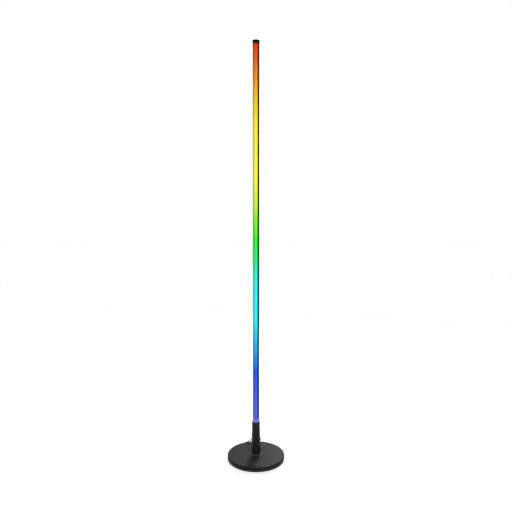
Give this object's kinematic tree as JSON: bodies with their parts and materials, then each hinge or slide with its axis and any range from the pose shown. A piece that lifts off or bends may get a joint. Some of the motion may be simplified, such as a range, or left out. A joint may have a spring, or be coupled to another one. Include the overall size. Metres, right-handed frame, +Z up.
{
  "type": "led floor lamp",
  "caption": "Slim upright LED tube with a coloured glow, standing in a flared black collar on a weighted round base, with a thin cord and a small control plug behind it.",
  "frame": {"origin": "centre of the round base, on the floor under the foot pads", "axes": "+Z up along the light tube, -Y the way the light faces, +Y the side where the cord leaves the collar"},
  "size_m": [0.2203, 0.2976, 1.4412],
  "materials": {
    "black_painted_steel": "satin black powder coat",
    "cast_weight": "bare casting",
    "black_moulding": "fine matt black moulding",
    "pad_rubber": "soft black rubber",
    "zinc_steel": "zinc plated",
    "black_steel_screw": "black oxide",
    "insert_brass": "turned",
    "natural_nylon": "natural moulding",
    "cord_sheath": "flexible black sheath",
    "frosted_sleeve": "frosted clear moulding",
    "black_anodised": "black anodised extrusion",
    "milky_diffuser": "milky translucent extrusion, lit",
    "white_board": "white solder mask",
    "led_package": "white package with clear lens",
    "tie_strap": "woven strap",
    "case_plastic": "smooth black moulding",
    "green_board": "green solder mask",
    "switch_plastic": "moulded switch",
    "key_plastic": "matt grey key",
    "plug_steel": "nickel plated folded steel"
  },
  "bodies": {
    "stand": {"base_shell": "black_painted_steel", "foot_ring": "black_painted_steel", "base_weight": "cast_weight", "base_tray": "black_moulding", "collar": "black_moulding", "plug_tongue": "black_moulding", "foot_pads": "pad_rubber", "tray_screws": "zinc_steel", "centre_bolt": "zinc_steel", "bolt_washer": "zinc_steel", "case_screws": "zinc_steel", "retaining_screw": "black_steel_screw", "collar_insert": "insert_brass", "socket_bush": "natural_nylon", "cord_lead": "cord_sheath", "cord_hank": "cord_sheath", "inner_lead": "cord_sheath", "cord_gland": "cord_sheath", "hank_tie": "tie_strap", "case_lower": "case_plastic", "case_upper": "case_plastic", "control_board": "green_board", "key_switches": "switch_plastic", "plug_shell": "plug_steel"},
    "light_tube": {"foot_sleeve": "frosted_sleeve", "foot_screws": "zinc_steel", "tube_channel": "black_anodised", "diffuser": "milky_diffuser", "led_board": "white_board", "led_chips": "led_package", "top_cap": "black_moulding", "cap_screws": "black_steel_screw"},
    "power_key": {"power_button": "key_plastic"},
    "colour_key": {"colour_button": "key_plastic"},
    "mode_key": {"mode_button": "key_plastic"}
  },
  "joints": [
    {"name": "tube_turn", "type": "hinge", "parent": "stand", "child": "light_tube", "pos_m": [0, 0, 0.11], "axis": [0, 0, 1], "range_deg": [-90, 90]},
    {"name": "power_press", "type": "slide", "parent": "stand", "child": "power_key", "axis": [0, 0, -1], "range_m": [0, 0.0006], "stiffness_N_per_m": 2000},
    {"name": "colour_press", "type": "slide", "parent": "stand", "child": "colour_key", "axis": [0, 0, -1], "range_m": [0, 0.0006], "stiffness_N_per_m": 2000},
    {"name": "mode_press", "type": "slide", "parent": "stand", "child": "mode_key", "axis": [0, 0, -1], "range_m": [0, 0.0006], "stiffness_N_per_m": 2000}
  ]
}
